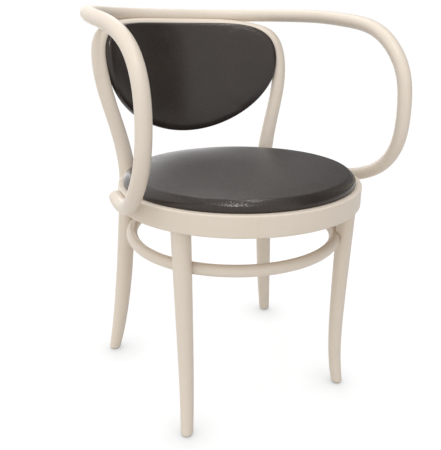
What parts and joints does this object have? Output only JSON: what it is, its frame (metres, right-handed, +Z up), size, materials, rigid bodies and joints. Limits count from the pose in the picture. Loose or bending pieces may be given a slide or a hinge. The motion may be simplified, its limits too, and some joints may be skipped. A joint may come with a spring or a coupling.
{
  "type": "bentwood armchair",
  "caption": "Bentwood dining armchair with one continuous arm and back rail, round padded seat, D-shaped padded back and a stretcher ring between the legs.",
  "frame": {"origin": "on the floor, under the middle of the box round the chair", "axes": "Z up; the sitter faces -Y; X across, +X is the sitter's left"},
  "size_m": [0.5398, 0.5502, 0.7692],
  "materials": {
    "stained_beech": "beech, pale cream stain under satin lacquer",
    "birch_plywood": "raw plywood, unseen from the front",
    "dark_leather": "fine-grained dark brown leather, satin",
    "pale_nylon": "moulded plastic glide",
    "zinc_steel": "zinc-plated fastener"
  },
  "bodies": {
    "root": {"seat_ring": "stained_beech", "stretcher_ring": "stained_beech", "front_leg_left": "stained_beech", "front_leg_right": "stained_beech", "back_hoop": "stained_beech", "arm_hoop": "stained_beech", "seat_board": "birch_plywood", "back_board": "birch_plywood", "seat_pad": "dark_leather", "back_pad": "dark_leather", "front_glide_left": "pale_nylon", "front_glide_right": "pale_nylon", "rear_glide_left": "pale_nylon", "rear_glide_right": "pale_nylon", "rear_bolt_left": "zinc_steel", "rear_bolt_right": "zinc_steel", "rear_washer_left": "zinc_steel", "rear_washer_right": "zinc_steel", "rear_nut_left": "zinc_steel", "rear_nut_right": "zinc_steel", "arm_screw_left": "zinc_steel", "arm_screw_right": "zinc_steel", "arm_washer_left": "zinc_steel", "arm_washer_right": "zinc_steel", "rail_screw_left": "zinc_steel", "rail_screw_right": "zinc_steel", "back_screw_lower_left": "zinc_steel", "back_screw_lower_right": "zinc_steel", "back_screw_upper_left": "zinc_steel", "back_screw_upper_right": "zinc_steel", "stretcher_screw_front_left": "zinc_steel", "stretcher_screw_front_right": "zinc_steel", "stretcher_screw_rear_left": "zinc_steel", "stretcher_screw_rear_right": "zinc_steel", "seat_screw_1": "zinc_steel", "seat_screw_2": "zinc_steel", "seat_screw_3": "zinc_steel", "seat_screw_4": "zinc_steel"}
  },
  "joints": []
}
